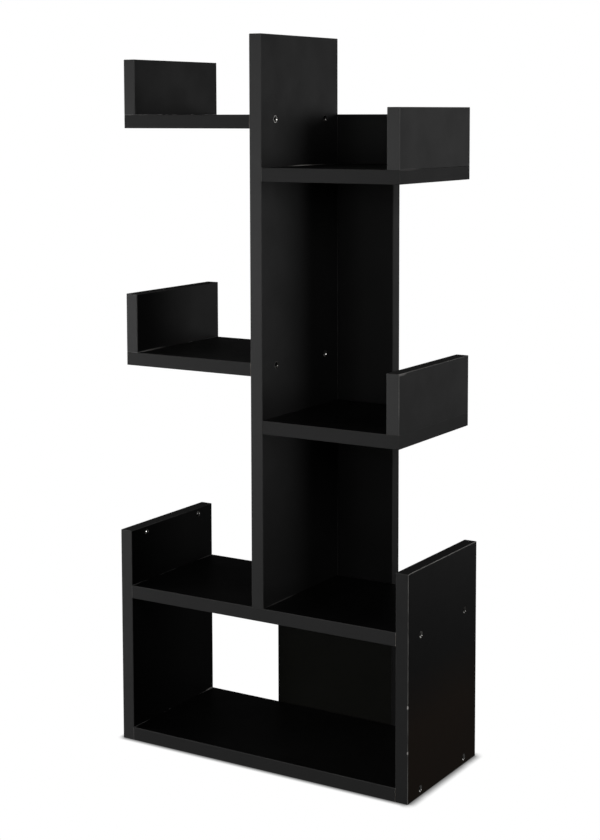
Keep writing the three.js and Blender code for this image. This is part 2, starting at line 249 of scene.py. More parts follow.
def turned_tree():
    """A piece turned about Z, through stations that each give a radius and a distance along."""
    stations = range(MOST_STATIONS)
    inputs = {"Sides": BORE_SIDES, "Stations": MOST_STATIONS}
    inputs |= {f"Along {number}": 0.0 for number in stations}
    inputs |= {f"Radius {number}": 0.0 for number in stations}
    tree, given, result = new_tree("turned piece", inputs, {"Mesh": GEOMETRY})
    last = maths(tree, "SUBTRACT", given["Stations"], 1)
    sizes = {"Vertices": given["Sides"], "Side Segments": last, "Radius": 1, "Depth": 1}
    blank = place(tree, "GeometryNodeMeshCylinder", sizes, fill_type="NGON")
    spot = parts(tree, spot_of(tree))
    share = times(tree, maths(tree, "ADD", spot["Z"], HALF), last)
    station = maths(tree, "ROUND", share)
    along = by_index(tree, station, [given[f"Along {number}"] for number in stations])
    radius = by_index(tree, station, [given[f"Radius {number}"] for number in stations])
    turned_spot = {"X": times(tree, spot["X"], radius), "Y": times(tree, spot["Y"], radius), "Z": along}
    turned_spot = output_of(tree, "ShaderNodeCombineXYZ", turned_spot)
    tree.links.new(shifted(tree, blank.outputs["Mesh"], Position=turned_spot), result["Mesh"])
    return tree


turned_piece = turned_tree()


def turned(tree, sides, stations):
    """A turned piece from (distance along, radius) pairs."""
    inputs = {"Sides": sides, "Stations": len(stations)}
    for number, (along, radius) in enumerate(stations):
        inputs |= {f"Along {number}": along, f"Radius {number}": radius}
    return use(tree, turned_piece, inputs)["Mesh"]


def stood_at_places(tree, places, shape, kind=None, roll=None):
    """Copies of a shape on the places of a kind, each pointing the way that its fitting goes in."""
    way = noted(tree, "way", "FLOAT_VECTOR")
    turn = output_of(tree, "FunctionNodeAlignRotationToVector", {"Vector": way}, axis="Z")
    if roll is not None:
        spin = {"Axis": Vector((0, 0, 1)), "Angle": roll}
        both = {"Rotation": turn, "Rotate By": output_of(tree, "FunctionNodeAxisAngleToRotation", spin)}
        turn = output_of(tree, "FunctionNodeRotateRotation", both, rotation_space="LOCAL")
    inputs = {"Points": places, "Instance": shape, "Rotation": turn}
    if kind is not None:
        both = {"A": noted(tree, "kind", "INT"), "B": kind}
        inputs["Selection"] = output_of(tree, "FunctionNodeCompare", both, data_type="INT", operation="EQUAL")
    return output_of(tree, "GeometryNodeInstanceOnPoints", inputs)


def made_real(tree, copies, material):
    """Copies turned into one mesh of their own, with a material on it."""
    real = output_of(tree, "GeometryNodeRealizeInstances", {"Geometry": copies})
    return coated(tree, real, material)


def bores_tree():
    """The cutters for every bore in a board, one at each place where a fitting goes in."""
    inputs = {"Places": GEOMETRY} | BORE_SIZES | {"Shaded Bore Core": None}
    tree, given, result = new_tree("drilled bores", inputs, {"Mesh": GEOMETRY})
    seat, shank = given["Seat Radius"], given["Shank Bore Radius"]
    screw = [(-OVERRUN, seat), (given["Seat Rim"], seat), (given["Seat Depth"], shank)]
    screw.append((given["Screw Bore Depth"], shank))
    dowel = [(-OVERRUN, given["Dowel Bore Radius"]), (given["Dowel Bore Depth"], given["Dowel Bore Radius"])]
    plug = [(-OVERRUN, given["Plug Bore Radius"]), (given["Plug Bore Depth"], given["Plug Bore Radius"])]
    cutters = [
        stood_at_places(tree, given["Places"], turned(tree, BORE_SIDES, stations), kind)
        for kind, stations in ((SCREW, screw), (DOWEL, dowel), (PLUG, plug))
    ]
    joined = output_of(tree, "GeometryNodeJoinGeometry", {0: cutters})
    tree.links.new(made_real(tree, joined, given["Shaded Bore Core"]), result["Mesh"])
    return tree


drilled_bores = bores_tree()


def board_tree():
    """A board: a blank with rounded arrises and a fine joint round its film, sawn to length and drilled."""
    inputs = {
        "Places": GEOMETRY,
        "Low": Vector(),
        "High": Vector(),
        "Sawn Low": Vector(),
        "Sawn High": Vector(),
        "Thickness Axis": Vector(),
        **BOARD_EDGES,
        "Highlighted Side": Vector(),
        "Clean Cut": 0.0,
        "Tone": 1.0,
        "Film": None,
        "Band": None,
        "Core": None,
        "Shaded Bore Core": None,
    }
    tree, given, result = new_tree("drilled board", inputs, {"Mesh": GEOMETRY})
    steps, radius, axis = given["Arris Steps"], given["Arris Radius"], given["Thickness Axis"]
    low = vectors(tree, "SUBTRACT", given["Low"], scaled(tree, given["Sawn Low"], SAWN_OFF))
    high = vectors(tree, "ADD", given["High"], scaled(tree, given["Sawn High"], SAWN_OFF))
    centre = scaled(tree, vectors(tree, "ADD", low, high), HALF)
    half_size = scaled(tree, vectors(tree, "SUBTRACT", high, low), HALF)

    # A unit cube whose outer cells become the arrises and whose middle cells become the flats
    cells = maths(tree, "MULTIPLY_ADD", steps, 2, 1)
    count = maths(tree, "ADD", cells, 1)
    counts = {f"Vertices {letter}": count for letter in "XYZ"}
    cube = place(tree, "GeometryNodeMeshCube", counts).outputs["Mesh"]
    position = spot_of(tree)
    side = vectors(tree, "SIGN", position)
    away = vectors(tree, "ABSOLUTE", position)
    rank = vectors(tree, "SUBTRACT", vectors(tree, "MULTIPLY", away, cells), Vector((HALF, HALF, HALF)))
    rank = vectors(tree, "MAXIMUM", rank, Vector())
    angle = scaled(tree, rank, maths(tree, "DIVIDE", EIGHTH_TURN, steps))
    lean = vectors(tree, "NORMALIZE", vectors(tree, "MULTIPLY", side, vectors(tree, "TANGENT", angle)))

    # How far each face leans from the flats, kept on the mesh for the wear and the painted highlights on the
    # arrises
    leaning = parts(tree, vectors(tree, "ABSOLUTE", lean))
    flattest = maths(tree, "MAXIMUM", maths(tree, "MAXIMUM", leaning["X"], leaning["Y"]), leaning["Z"])
    rounding = maths(tree, "SQRT", spread(tree, flattest, 1, math.cos(EIGHTH_TURN)))
    # Painted highlight: the arrises on the side that faces the right lamp are made paler, most on top
    towards_light = vectors(tree, "DOT_PRODUCT", lean, given["Highlighted Side"])
    highlighted = maths(tree, "GREATER_THAN", towards_light, HIGHLIGHT_LEAN)
    on_top = maths(tree, "GREATER_THAN", parts(tree, lean)["Z"], HIGHLIGHT_LEAN)
    rub = maths(tree, "MULTIPLY_ADD", on_top, 1 - SIDE_HIGHLIGHT, SIDE_HIGHLIGHT)
    rub = times(tree, rub, vectors(tree, "LENGTH", given["Highlighted Side"]), highlighted)
    wear = maths(tree, "MAXIMUM", given["Wear And Highlight"], rub)
    cube = stored(tree, cube, "arris", times(tree, rounding, wear), "FACE")
    centred = maths(tree, "LESS_THAN", vectors(tree, "LENGTH", position), FLAT_CENTRE_SHARE)
    outward = maths(tree, "ABSOLUTE", vectors(tree, "DOT_PRODUCT", position, axis))
    on_face = times(tree, centred, maths(tree, "GREATER_THAN", outward, FLAT_SHARE))
    cube = stored(tree, cube, "film", on_face, "FACE", "BOOLEAN")
    corner = vectors(tree, "SUBTRACT", half_size, radius)
    rounded = vectors(tree, "MULTIPLY_ADD", side, corner, scaled(tree, lean, radius))
    blank = shifted(tree, cube, Position=vectors(tree, "ADD", centre, rounded))
    blank = coated(tree, blank, given["Band"])

    # The film ends just inside the arrises, in a hairline joint with the band
    local = vectors(tree, "SIGN", vectors(tree, "SUBTRACT", position, centre))
    in_plane = vectors(tree, "SUBTRACT", Vector((1, 1, 1)), axis)
    film = noted(tree, "film", "BOOLEAN")
    half_joint = times(tree, given["Joint Width"], HALF)
    sunk = times(tree, given["Joint Depth"], -1)
    for inset, rise in ((given["Band Margin"], 0), (half_joint, sunk), (half_joint, given["Joint Depth"])):
        cut = {"Mesh": blank, "Selection": film, "Offset Scale": 0, "Individual": True}
        cut = place(tree, "GeometryNodeExtrudeMesh", cut, mode="FACES").outputs
        step = vectors(tree, "SUBTRACT", scaled(tree, axis, rise), scaled(tree, in_plane, inset))
        shift = vectors(tree, "MULTIPLY", local, step)
        blank = shifted(tree, cut["Mesh"], Selection=cut["Top"], Offset=shift)
        film = cut["Top"]
    blank = coated(tree, blank, given["Film"], Selection=film)

    # Sawn square where it butts another board, then drilled
    saw_ends = []
    for end, outwards in (("Low", "SUBTRACT"), ("High", "ADD")):
        sawn_way = given[f"Sawn {end}"]
        loose = scaled(tree, vectors(tree, "SUBTRACT", Vector((1, 1, 1)), sawn_way), OVERRUN)
        past = vectors(tree, "ADD", scaled(tree, sawn_way, DRAWN_TIGHT), loose)
        saw_ends.append(vectors(tree, outwards, given[end], past))
    saw_low, saw_high = saw_ends
    saw_size = vectors(tree, "SUBTRACT", saw_high, saw_low)
    saw = place(tree, "GeometryNodeMeshCube", {"Size": saw_size}).outputs["Mesh"]
    saw_centre = scaled(tree, vectors(tree, "ADD", saw_low, saw_high), HALF)
    saw = coated(tree, shifted(tree, saw, Offset=saw_centre), given["Core"])
    options = {"operation": "INTERSECT", "solver": "EXACT"}
    sawn = output_of(tree, "GeometryNodeMeshBoolean", {"Mesh 2": [blank, saw]}, **options)
    bores = use(tree, drilled_bores, {"Places": given["Places"], "Shaded Bore Core": given["Shaded Bore Core"]})["Mesh"]
    options["operation"] = "DIFFERENCE"
    drilled = output_of(tree, "GeometryNodeMeshBoolean", {"Mesh 1": sawn, "Mesh 2": bores}, **options)

    # How far each point lies from a sawn end, kept on the mesh for the chips that the saw leaves in the film
    # and the painted highlight along the joint there
    for label, end, inward in (("Low", "low_saw", 1), ("High", "high_saw", -1)):
        sawn_way = given[f"Sawn {label}"]
        away = vectors(tree, "DOT_PRODUCT", vectors(tree, "SUBTRACT", position, given[label]), sawn_way)
        uncut = maths(tree, "SUBTRACT", 1, vectors(tree, "LENGTH", sawn_way))
        uncut = maths(tree, "ADD", uncut, given["Clean Cut"])
        drilled = stored(tree, drilled, end, maths(tree, "MULTIPLY_ADD", away, inward, uncut))
    # Each board's painted light level, which scales all its colours
    drilled = stored(tree, drilled, "tone", given["Tone"])
    tree.links.new(smoothed(tree, drilled), result["Mesh"])
    return tree


drilled_board = board_tree()


def made_by(tree, name, places, choices):
    """Runs a tree over a mesh of places, and returns a piece with the result as its own plain mesh."""
    piece = bpy.data.objects.new(name, places)
    bpy.context.scene.collection.objects.link(piece)
    shape = piece.modifiers.new("shape", "NODES")
    shape.node_group = tree
    for item in tree.interface.items_tree:
        if item.name in choices:
            shape[item.identifier] = choices[item.name]
    piece.modifiers.new("flat faces stay flat", "WEIGHTED_NORMAL").keep_sharp = True
    depsgraph = bpy.context.evaluated_depsgraph_get()
    finished = bpy.data.meshes.new_from_object(
        piece.evaluated_get(depsgraph), preserve_all_data_layers=True, depsgraph=depsgraph
    )
    piece.modifiers.clear()
    piece.data = finished
    finished.name = name
    return piece


WAYS_IN = {
    "left_side": (1, 0, 0),
    "right_side": (-1, 0, 0),
    "trunk_foot": (0, 0, 1),
    "end_panel": (0, 0, 1),
    "back_board": (0, -1, 0),
    "spare_bore": (-1, 0, 0),
}
KINDS = {"screw": SCREW, "dowel": DOWEL, "plug": PLUG}
fittings = sorted(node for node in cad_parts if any(word in node for word in KINDS))


def way_in(fitting):
    """The direction in which a screw, dowel or plug goes in. Those in the trunk go towards their branch."""
    for start, way in WAYS_IN.items():
        if fitting.startswith(start):
            return Vector(way)
    return Vector((1 if "right" in fitting else -1, 0, 0))


def places_of(name, nodes, head_darkening=None):
    """A mesh with a point where each fitting starts, which notes its way in, its kind and how far it is
    darkened.
    """
    starts = []
    for node in nodes:
        low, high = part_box(node)
        reach = [way * size / 2 for way, size in zip(way_in(node), high - low)]
        starts.append((low + high) / 2 - Vector(reach))
    mesh = bpy.data.meshes.new(name)
    mesh.from_pydata(starts, [], [])
    ways = mesh.attributes.new("way", "FLOAT_VECTOR", "POINT")
    ways.data.foreach_set("vector", [part for node in nodes for part in way_in(node)])
    kinds = mesh.attributes.new("kind", "INT", "POINT")
    kinds.data.foreach_set("value", [next(KINDS[word] for word in KINDS if word in node) for node in nodes])
    dull = mesh.attributes.new("head_darkening", "FLOAT", "POINT")
    dull.data.foreach_set("value", [(head_darkening or {}).get(node, 0) for node in nodes])
    return mesh


def reaches_into(fitting, board):
    (low, high), (board_low, board_high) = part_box(fitting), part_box(board)
    return all(low[i] < board_high[i] and high[i] > board_low[i] for i in range(3))


MIDDLE_LOW = 0.3  # the range that holds most of a noise
MIDDLE_HIGH = 0.7
FILM_NOISES = {
    "Cloud": {"Detail": 3, "Roughness": 0.5},
    "Smudge": {"Detail": 5, "Roughness": 0.62},
    "Pearl": {"Detail": 2, "Roughness": 0.5},
}


def noise_of_size(tree, spot, size, **settings):
    """Noise whose largest forms have a size in metres."""
    inputs = {"Vector": spot, "Scale": maths(tree, "DIVIDE", 1, size)} | settings
    return output_of(tree, "ShaderNodeTexNoise", inputs)


def normal_of(tree):
    """The way that a surface faces."""
    return place(tree, "ShaderNodeNewGeometry").outputs["Normal"]


def kept(tree, name):
    """A value that the mesh keeps under a name."""
    return place(tree, "ShaderNodeAttribute", attribute_name=name).outputs["Fac"]


def new_effect(name, inputs, *outputs):
    """A node group for materials: from the place of a point on its piece, a share for each output."""
    inputs = {"Vector": Vector()} | inputs
    return new_tree(name, inputs, dict.fromkeys(outputs, 0.0), "ShaderNodeTree")


def film_texture():
    """Slow clouds, smudges of hands and the fine pearl of pressed melamine film."""
    inputs = {"Pearl Size": 0.0005, "Smudge Size": 0.05, "Cloud Size": 0.2}
    tree, given, result = new_effect("film texture", inputs, "Cloud", "Smudge", "Pearl")
    for label, settings in FILM_NOISES.items():
        noise = noise_of_size(tree, given["Vector"], given[f"{label} Size"], **settings)
        tree.links.new(noise, result[label])
    return tree


def worn_lit_arrises():
    """Rubbed arrises with painted highlights along them, and tiny chips in them that bare the board's core.
    """
    inputs = {"Rub Size": 0.02, "Rub From": 0.2, "Rub To": 0.6}
    inputs |= {"Chip Size": 0.0022, "Chip Edge": 0.02, "Chip Share": 0.2}
    tree, given, result = new_effect("worn and lit arrises", inputs, "Rub", "Chip")
    arris = kept(tree, "arris")
    chip_to = maths(tree, "SUBTRACT", 1, given["Chip Share"])
    chip_from = maths(tree, "SUBTRACT", chip_to, given["Chip Edge"])
    for label, low, high in (("Rub", given["Rub From"], given["Rub To"]), ("Chip", chip_from, chip_to)):
        noise = noise_of_size(tree, given["Vector"], given[f"{label} Size"], Detail=4)
        tree.links.new(times(tree, spread(tree, noise, low, high), arris), result[label])
    return tree


def sawn_lines_and_highlights():
    """A fine ragged line at a sawn end, mostly near its corners: partly film that the saw broke out, partly a
    painted highlight along the joint.
    """
    inputs = {"Line Width": 0.0006, "Upright Share": 0.3, "Back Gain": 1.4}
    inputs |= {"Chip Size": 0.0015, "Run Length": 0.03, "Run From": 0.54, "Run To": 0.66}
    inputs |= {"Middle Depth": -0.009, "Clean Reach": 0.06, "Broken Reach": 0.085}
    tree, given, result = new_effect("saw lines and joint highlights", inputs, "Chipped And Highlighted")
    ends = [kept(tree, end) for end in ("low_saw", "high_saw")]
    ragged = noise_of_size(tree, given["Vector"], given["Chip Size"], Detail=3)
    run = noise_of_size(tree, given["Vector"], given["Run Length"], Detail=2)
    run = spread(tree, run, given["Run From"], given["Run To"])
    back = maths(tree, "SUBTRACT", parts(tree, given["Vector"])["Y"], given["Middle Depth"])
    corner = spread(tree, maths(tree, "ABSOLUTE", back), given["Clean Reach"], given["Broken Reach"])
    further = spread(tree, back, given["Clean Reach"], given["Broken Reach"])
    gain = maths(tree, "MULTIPLY_ADD", further, given["Back Gain"], 1)
    level = maths(tree, "ABSOLUTE", parts(tree, normal_of(tree))["Z"])
    share = maths(tree, "MAXIMUM", level, given["Upright Share"])
    broken = maths(tree, "MAXIMUM", run, corner)
    width = times(tree, ragged, gain, given["Line Width"], share, broken)
    chipped = spread(tree, maths(tree, "MINIMUM", *ends), width, 0)
    tree.links.new(chipped, result["Chipped And Highlighted"])
    return tree


MARKS_AND_JOINT_HIGHLIGHTS = (  # the middle of each, half its size and how strongly it shows; the first two are bruises, the rest painted highlights
    ((0.225, -0.1065, 0.1262), (0.0018, 0.0018, 0.003), 1.0),
    ((0.225, -0.1065, 0.0672), (0.0015, 0.0015, 0.0026), 1.0),
    ((0.009, -0.004, 0.8002), (0.002, 0.036, 0.0014), 0.6),
    ((0.009, 0.035, 0.8002), (0.002, 0.03, 0.0012), 0.13),
    ((-0.193, -0.072, 0.5466), (0.002, 0.032, 0.0012), 0.14),
    ((0.009, -0.064, 0.2196), (0.002, 0.046, 0.0014), 0.1),
    ((-0.207, 0.08, 0.018), (0.002, 0.012, 0.0016), 0.6),
    ((-0.207, 0.076, 0.22), (0.002, 0.016, 0.0014), 0.12),
    ((0.2115, -0.084, 0.8004), (0.002, 0.034, 0.0016), 0.07),
    ((0.2115, -0.1065, 0.515), (0.0013, 0.0013, 0.045), 0.18),
    ((0.2115, -0.1, 0.547), (0.0016, 0.016, 0.0024), 0.3),
)
KNOCK_GRAIN = 0.0011


def knocks_and_joint_highlights():
    """Bruises on an arris where something hard knocked the board, and painted highlights beside the joints
    and along some arrises.
    """
    tree, given, result = new_effect("knocks_and_joint_highlights", {"Edge": 0.6}, "Mark And Highlight")
    noise = noise_of_size(tree, given["Vector"], KNOCK_GRAIN, Detail=3)
    knock = 0
    for middle, half_size, how_strong in MARKS_AND_JOINT_HIGHLIGHTS:
        away = vectors(tree, "SUBTRACT", given["Vector"], middle)
        share = vectors(tree, "LENGTH", vectors(tree, "DIVIDE", away, half_size))
        share = maths(tree, "ADD", share, maths(tree, "SUBTRACT", noise, HALF))
        marked = times(tree, spread(tree, share, 1, given["Edge"]), how_strong)
        knock = maths(tree, "MAXIMUM", knock, marked)
    tree.links.new(knock, result["Mark And Highlight"])
    return tree


def settled_dust():
    """Dust on what faces up, in drifts."""
    inputs = {"Drift Size": 0.03, "Drift From": 0.35, "Drift To": 0.75}
    inputs |= {"Least Level": 0.7, "Amount": 0.1}
    tree, given, result = new_effect("settled dust", inputs, "Dust")
    level = spread(tree, parts(tree, normal_of(tree))["Z"], given["Least Level"], 1)
    drift = noise_of_size(tree, given["Vector"], given["Drift Size"], Detail=8)
    drift = spread(tree, drift, given["Drift From"], given["Drift To"])
    tree.links.new(times(tree, level, drift, given["Amount"]), result["Dust"])
    return tree


film_texture_group = film_texture()
worn_lit_arris_group = worn_lit_arrises()
sawn_line_and_highlight_group = sawn_lines_and_highlights()
knock_and_highlight_group = knocks_and_joint_highlights()
settled_dust_group = settled_dust()
# Pale grey of the sawn lines: partly broken film, partly painted joint highlight
SAW_LINE_AND_HIGHLIGHT_GREY = (0.45, 0.445, 0.44, 1)
MARK_AND_HIGHLIGHT_GREY = (0.8, 0.77, 0.74, 1)
DUST_GREY = (0.16, 0.155, 0.145, 1)
# Pale grey on the arrises: partly wear, partly painted highlight
WORN_AND_LIT_GREY = (0.85, 0.83, 0.79, 1)
WEAR_AND_HIGHLIGHT_STRENGTH = 0.9
TOP_FROM = 0.8  # least Z of the normal of a top edge
TOP_PAINTED_SHADE = 0.4  # painted shade: how much darker a top edge, and any face that looks up, is than the others
PATCHINESS = 0.5  # patchiness of the painted warm reflection
SMUDGE_SWING = 0.035
DUST_DULLING = 0.3
FILM_IOR = 1.5
WOOD_IOR = 1.45
CORE_ROUGHNESS = 0.9
CORE_TAN = (0.36, 0.25, 0.15, 1)
CORE_BROWN = (0.17, 0.105, 0.055, 1)
# Painted shade: the core inside the bores is much darker than where it is sawn
SHADED_BORE_TAN = (0.02, 0.015, 0.01, 1)
SHADED_BORE_BROWN = (0.008, 0.006, 0.004, 1)
CHIP_SIZE = 0.0011
CHIP_HEIGHT = 0.0002


def new_material(name, **constants):
    """A material with one Principled shader, whose constant sockets are set by name."""
    material = bpy.data.materials.new(name)
    material.use_nodes = True
    shader = material.node_tree.nodes["Principled BSDF"]
    for label, value in constants.items():
        shader.inputs[label.replace("_", " ")].default_value = value
    return material, material.node_tree, shader.inputs


def mixed(tree, factor, first, second):
    """Two colours mixed."""
    inputs = {"Factor": factor, "A": first, "B": second}
    return output_of(tree, "ShaderNodeMix", inputs, data_type="RGBA")


def add_relief(tree, shader, height, depth):
    """Fine relief on a surface, of a depth in metres."""
    bump = {"Strength": 1, "Distance": depth, "Height": height}
    tree.links.new(output_of(tree, "ShaderNodeBump", bump), shader["Normal"])


def satin_black(name, finish):
    """Black film or edge band: satin, faintly clouded and smudged, rubbed and chipped at its arrises."""
    material, tree, shader = new_material(name, IOR=FILM_IOR, Specular_IOR_Level=finish["specular"])
    spot, normal = spot_of(tree), normal_of(tree)
    stretched = {"Vector": spot, "Scale": finish["pearl stretch"]}
    stretched = output_of(tree, "ShaderNodeMapping", stretched)
    plain = use(tree, film_texture_group, {"Vector": spot})
    pearl = use(tree, film_texture_group, {"Vector": stretched, "Pearl Size": finish["pearl size"]})["Pearl"]
    wear = use(tree, worn_lit_arris_group, {"Vector": spot})
    dust = use(tree, settled_dust_group, {"Vector": spot, "Amount": finish["dust"]})["Dust"]
    # Painted shade: whatever faces up is made darker
    on_top = spread(tree, parts(tree, normal)["Z"], TOP_FROM, 1)
    # Painted light: the board's own painted light level scales its colour
    tone = times(tree, kept(tree, "tone"), maths(tree, "MULTIPLY_ADD", on_top, -TOP_PAINTED_SHADE, 1))
    colour = scaled(tree, mixed(tree, plain["Cloud"], finish["black"], finish["clouded"]), tone)
    # Painted warm reflection of the floor: the colour turns warmer low down on the face that looks the way
    # the finish gives
    if "painted reflection" in finish:
        low_down = spread(tree, parts(tree, spot)["Z"], finish["painted reflection from"], finish["painted reflection full"])
        patchy = maths(tree, "MULTIPLY_ADD", plain["Smudge"], PATCHINESS, 1 - PATCHINESS / 2)
        towards = vectors(tree, "DOT_PRODUCT", normal, finish["painted reflection side"])
        on_side = maths(tree, "GREATER_THAN", towards, HALF)
        colour = mixed(tree, times(tree, low_down, patchy, on_side), colour, finish["painted reflection"])
    chipped = use(tree, sawn_line_and_highlight_group, {"Vector": spot, "Line Width": finish["saw lines and joint highlights"]})["Chipped And Highlighted"]
    # Marks laid over the colour: dust, worn arrises with painted highlights, bared chips, saw chips with
    # painted joint highlights, bruises and painted highlights
    for share, cover in (
        (dust, DUST_GREY),
        (times(tree, wear["Rub"], WEAR_AND_HIGHLIGHT_STRENGTH), WORN_AND_LIT_GREY),
        (wear["Chip"], CORE_TAN),
        (chipped, SAW_LINE_AND_HIGHLIGHT_GREY),
        (use(tree, knock_and_highlight_group, {"Vector": spot})["Mark And Highlight"], MARK_AND_HIGHLIGHT_GREY),
    ):
        colour = mixed(tree, share, colour, cover)
    tree.links.new(colour, shader["Base Color"])
    glossiest, dullest = finish["roughness"] - SMUDGE_SWING, finish["roughness"] + SMUDGE_SWING
    satin = spread(tree, plain["Smudge"], MIDDLE_LOW, MIDDLE_HIGH, glossiest, dullest)
    dulled = times(tree, maths(tree, "ADD", dust, wear["Chip"]), DUST_DULLING)
    tree.links.new(maths(tree, "ADD", satin, dulled), shader["Roughness"])
    add_relief(tree, shader, pearl, finish["pearl height"])
    return material


def chip_board(name, brown, tan):
    """Particle board where it is sawn or drilled: pale and brown chips pressed together."""
    material, tree, shader = new_material(name, IOR=WOOD_IOR, Roughness=CORE_ROUGHNESS)
    chips = place(tree, "ShaderNodeTexVoronoi", {"Vector": spot_of(tree), "Scale": 1 / CHIP_SIZE}).outputs
    tone = output_of(tree, "ShaderNodeSeparateColor", {0: chips["Color"]})
    tree.links.new(mixed(tree, tone, brown, tan), shader["Base Color"])
    add_relief(tree, shader, chips["Distance"], CHIP_HEIGHT)
    return material


MELAMINE = {
    "black": (0.0028, 0.0028, 0.0029, 1),
    "clouded": (0.0038, 0.0038, 0.0038, 1),
    "specular": 0.5,
    "roughness": 0.45,
    "pearl size": 0.0007,
    "pearl height": 0.00002,
    "pearl stretch": Vector((1, 1, 1)),
    "saw lines and joint highlights": 0.0022,
    "dust": 0.012,
}
# Painted warm reflection of the floor, low down on the outer face of the right side
SIDE_FLOOR_REFLECTION = {
    "painted reflection": (0.0185, 0.0088, 0.0025, 1),
    "painted reflection side": Vector((1, 0, 0)),
    "painted reflection from": 0.17,
    "painted reflection full": 0.09,
}
# A film with a little less sheen, and a painted warm reflection of the floor low down on the back board's
# front face
BACK_BOARD_REFLECTION = {
    "specular": 0.45,
    "painted reflection": (0.0038, 0.0038, 0.0002, 1),
    "painted reflection side": Vector((0, -1, 0)),
    "painted reflection from": 0.22,
    "painted reflection full": 0.2,
}
MATT = {
    "black": (0.0012, 0.0012, 0.0012, 1),
    "clouded": (0.0018, 0.0018, 0.0018, 1),
    "specular": 0.2,
}
BANDED = {
    "roughness": 0.46,
    "pearl size": 0.0004,
    "pearl height": 0.00004,
    "saw lines and joint highlights": 0.0002,
}
UPRIGHT_BAND = {
    "black": (0.045, 0.045, 0.045, 1),
    "clouded": (0.053, 0.053, 0.053, 1),
    "specular": 0.32,
    "pearl stretch": Vector((1, 1, 0.04)),
}
SHELF_BAND = {
    "black": (0.040, 0.040, 0.040, 1),
    "clouded": (0.047, 0.047, 0.047, 1),
    "specular": 0.12,
    "pearl stretch": Vector((0.04, 1, 1)),
}
melamine_film = satin_black("black_melamine_film", MELAMINE)
# The next two films carry a painted warm reflection of the floor low down on one side
floor_reflection_film = satin_black("floor_reflection_melamine_film", MELAMINE | SIDE_FLOOR_REFLECTION)
back_board_reflection_film = satin_black("back_board_reflection_melamine_film", MELAMINE | BACK_BOARD_REFLECTION)
matt_film = satin_black("matt_melamine_film", MELAMINE | MATT)
upright_band = satin_black("black_upright_band", MELAMINE | BANDED | UPRIGHT_BAND)
shelf_band = satin_black("black_shelf_band", MELAMINE | BANDED | SHELF_BAND)
particle_core = chip_board("sawn_particle_core", CORE_BROWN, CORE_TAN)
# The core in the bores, darkened as painted shade
shaded_bore_core = chip_board("shaded_bore_particle_core", SHADED_BORE_BROWN, SHADED_BORE_TAN)
UPRIGHT = Vector((1, 0, 0))
LYING = Vector((0, 0, 1))
STANDING_ACROSS = Vector((0, 1, 0))
NOWHERE = Vector()
BOTH_ENDS = Vector((1, 0, 0))
PAINTED_LIGHT_LEVELS = {  # painted light: how pale each board's film and bands are made beside the others, standing for how the lamps fall on it
    "left_side": 1.22,
    "right_side": 0.82,
    "bottom_shelf": 1.12,
    "lower_shelf": 1.27,
    "trunk": 1.07,
    "back_board": 0.8,
    "top_left_shelf": 0.82,
    "mid_left_shelf": 1.12,
    "top_right_shelf": 0.92,
    "mid_right_shelf": 1.1,
    "top_right_end_panel": 1.3,
    "mid_right_end_panel": 1.42,
}
HIGHLIGHTED_SIDES = {  # the side of a board that faces the right lamp and gets a painted highlight on its arrises, as long as the highlight is strong
    "right_side": Vector((1, 0, 0)),
    "top_right_end_panel": Vector((0.25, 0, 0)),
    "mid_right_end_panel": Vector((0.4, 0, 0)),
}
CLEAN_CUT = ("top_right_end_panel", "mid_right_end_panel", "mid_right_shelf", "trunk")


def add_board(node, thickness_axis, band, film=melamine_film, sawn_low=NOWHERE, sawn_high=NOWHERE):
    """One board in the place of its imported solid, with a bore for each fitting that reaches into it."""
    low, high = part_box(node)
    name = f"{node}_board"
    places = places_of(name, [fitting for fitting in fittings if reaches_into(fitting, node)])
    choices = {
        "Low": low,
        "High": high,
        "Sawn Low": sawn_low,
        "Sawn High": sawn_high,
        "Thickness Axis": thickness_axis,
        "Highlighted Side": HIGHLIGHTED_SIDES.get(node, NOWHERE),
        "Clean Cut": float(node in CLEAN_CUT),
        "Tone": PAINTED_LIGHT_LEVELS.get(node, 1.0),
        "Film": film,
        "Band": band,
        "Core": particle_core,
        "Shaded Bore Core": shaded_bore_core,
    }
    board = made_by(drilled_board, name, places, choices)
    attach(board, "root")
    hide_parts(node)


add_board("left_side", UPRIGHT, upright_band, film=matt_film)
# The right side's film has a painted warm reflection of the floor low down on its outer face
add_board("right_side", UPRIGHT, upright_band, film=floor_reflection_film)
for shelf in ("bottom_shelf", "lower_shelf"):
    add_board(shelf, LYING, shelf_band, film=matt_film, sawn_low=BOTH_ENDS, sawn_high=BOTH_ENDS)

# The trunk
# The tallest upright, the same laminated board on edge. Its foot is sawn square and stands on the lower
# shelf, and both screws come up into it from below.
FOOT = Vector((0, 0, 1))
add_board("trunk", UPRIGHT, upright_band, sawn_low=FOOT)

# The back board
# One wide board from the floor to the highest shelf, banded all round and screwed on from behind. It keeps
# the trunk and every shelf square.
# Its film has a painted warm reflection of the floor low down on its front face.
add_board("back_board", STANDING_ACROSS, upright_band, film=back_board_reflection_film)

# The branches
# Four short shelves that butt the trunk, two to a side and all at different heights. Each ends in a low end
# panel that stands on it, flush with its outer end, and is screwed on from underneath.
for branch in ("top_left", "mid_left", "top_right", "mid_right"):
    on_left = branch.endswith("left")
    to_trunk = {"sawn_high" if on_left else "sawn_low": BOTH_ENDS}
    film = melamine_film if on_left else matt_film
    add_board(f"{branch}_shelf", LYING, shelf_band, film=film, **to_trunk)
    add_board(f"{branch}_end_panel", UPRIGHT, upright_band, sawn_low=FOOT)

